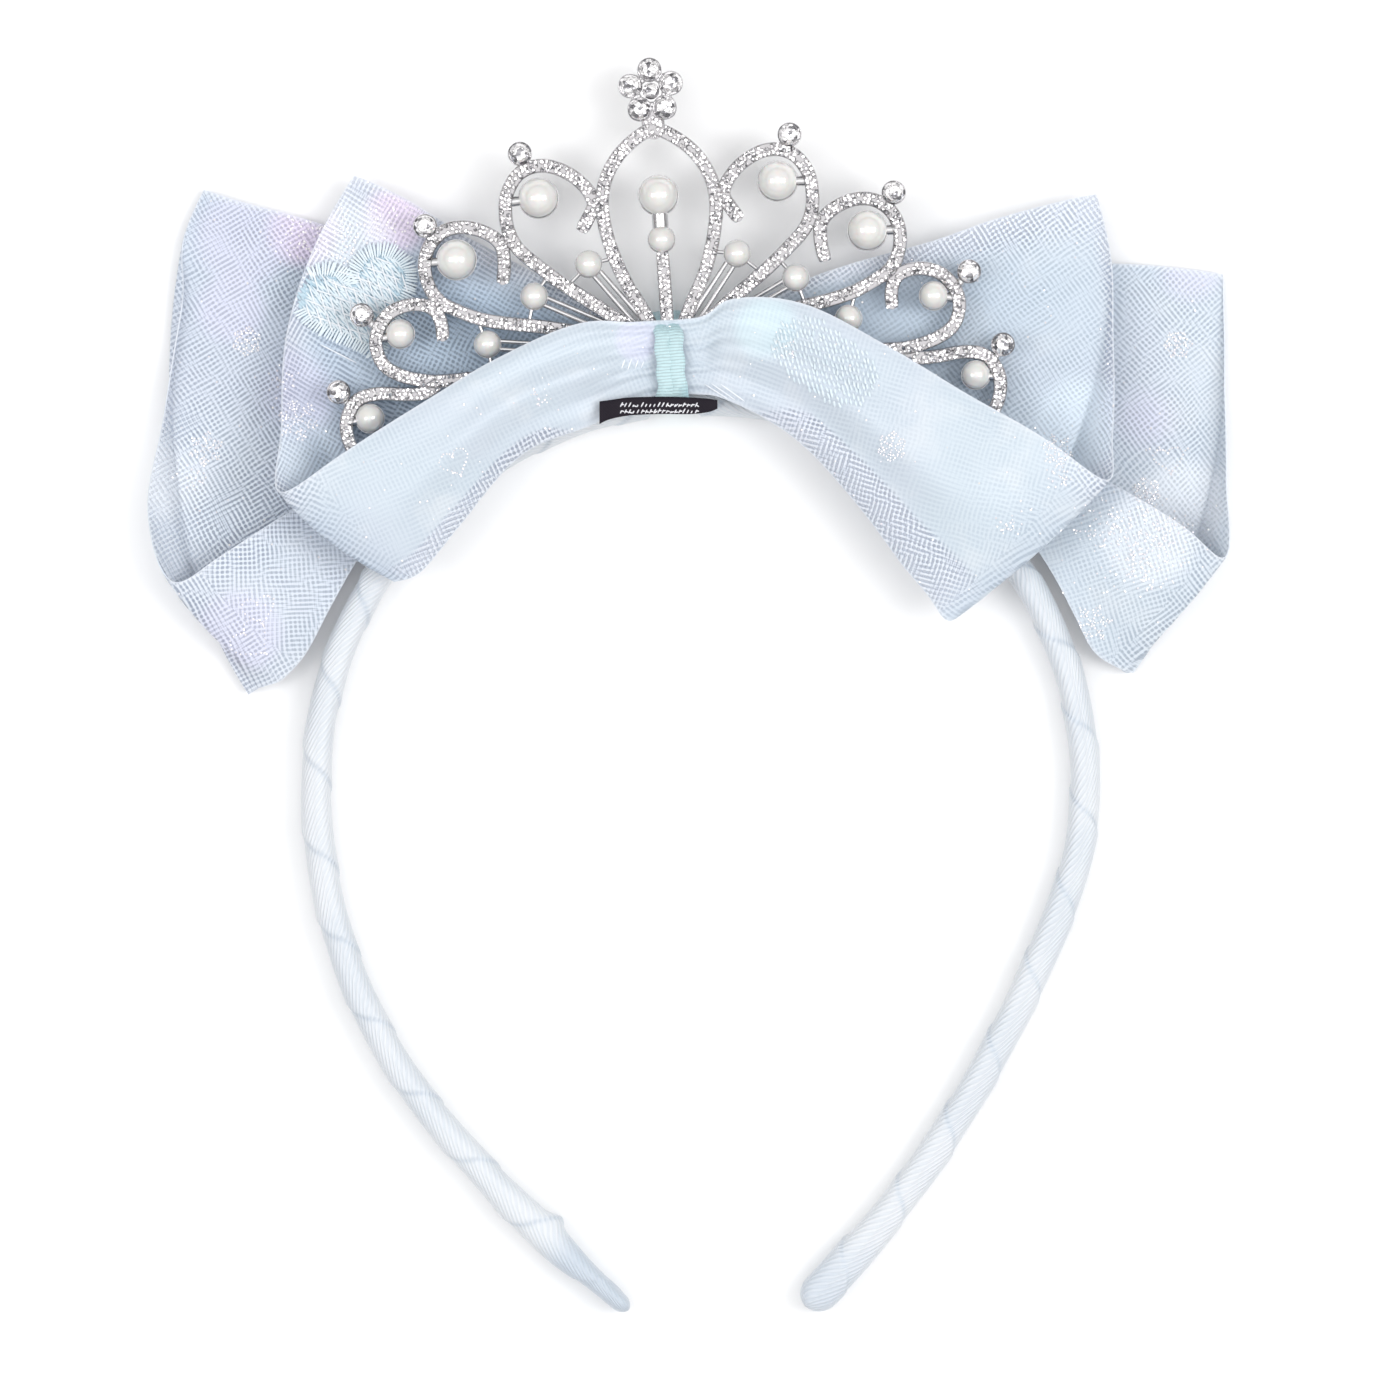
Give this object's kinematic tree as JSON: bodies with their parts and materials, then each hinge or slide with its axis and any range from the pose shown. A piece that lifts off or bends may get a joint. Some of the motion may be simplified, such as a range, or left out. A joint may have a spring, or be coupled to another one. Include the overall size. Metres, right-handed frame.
{
  "type": "child's headband",
  "caption": "Ribbon-wrapped hoop headband with two layered net bows, a knot, a folded label and a scrolled silver fan crown set with pearls and clear stones.",
  "frame": {"origin": "the middle of the whole outline, on the surface that the headband lies on", "axes": "+Z towards the viewer, +Y from the arms' tips to the crown, +X to the right as the front is seen"},
  "size_m": [0.1629, 0.1879, 0.0184],
  "materials": {
    "ribbon": "satin",
    "net": "sheer net",
    "grosgrain": "ribbed",
    "label_fabric": "woven satin",
    "crown_metal": "polished",
    "pearl": "pearl",
    "crystal": "faceted"
  },
  "bodies": {
    "root": {"band": "ribbon", "long_bow": "net", "short_bow": "net", "knot": "grosgrain", "label": "label_fabric", "crown": "crown_metal", "pearl_stem_upper": "pearl", "pearl_stem_lower": "pearl", "pearl_left_1": "pearl", "pearl_left_2": "pearl", "pearl_left_3": "pearl", "pearl_left_4": "pearl", "pearl_right_1": "pearl", "pearl_right_2": "pearl", "pearl_right_3": "pearl", "pearl_right_4": "pearl", "wire_pearl_left_1": "pearl", "wire_pearl_left_2": "pearl", "wire_pearl_left_3": "pearl", "wire_pearl_right_1": "pearl", "wire_pearl_right_2": "pearl", "wire_pearl_right_3": "pearl", "ball_stone_left_1": "crystal", "ball_stone_left_2": "crystal", "ball_stone_left_3": "crystal", "ball_stone_left_4": "crystal", "ball_stone_right_1": "crystal", "ball_stone_right_2": "crystal", "ball_stone_right_3": "crystal", "ball_stone_right_4": "crystal", "petal_stone_1": "crystal", "petal_stone_2": "crystal", "petal_stone_3": "crystal", "petal_stone_4": "crystal", "petal_stone_5": "crystal", "flower_stone": "crystal"}
  },
  "joints": []
}
